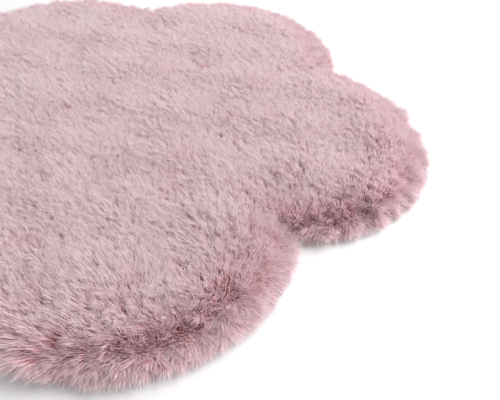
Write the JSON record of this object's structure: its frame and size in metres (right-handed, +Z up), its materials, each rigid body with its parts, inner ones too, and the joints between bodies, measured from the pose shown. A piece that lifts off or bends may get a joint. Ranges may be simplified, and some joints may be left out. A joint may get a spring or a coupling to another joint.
{
  "type": "flower-shaped faux fur rug",
  "caption": "Deep faux fur rug cut to a flower of round petals, lying flat on its plain underside, with a plump fur rim.",
  "frame": {"origin": "the flower's centre on the underside, where the rug lies on the floor", "axes": "+Z up through the pile, -Y through the middle of one petal, +X to the right of it"},
  "size_m": [0.8274, 0.8057, 0.0314],
  "materials": {
    "fur": "deep, dense and soft faux rabbit fur, matt dusty pink with deeper rose roots and paler tips, brushed one way"
  },
  "bodies": {
    "root": {"fur_rug": "fur"}
  },
  "joints": []
}
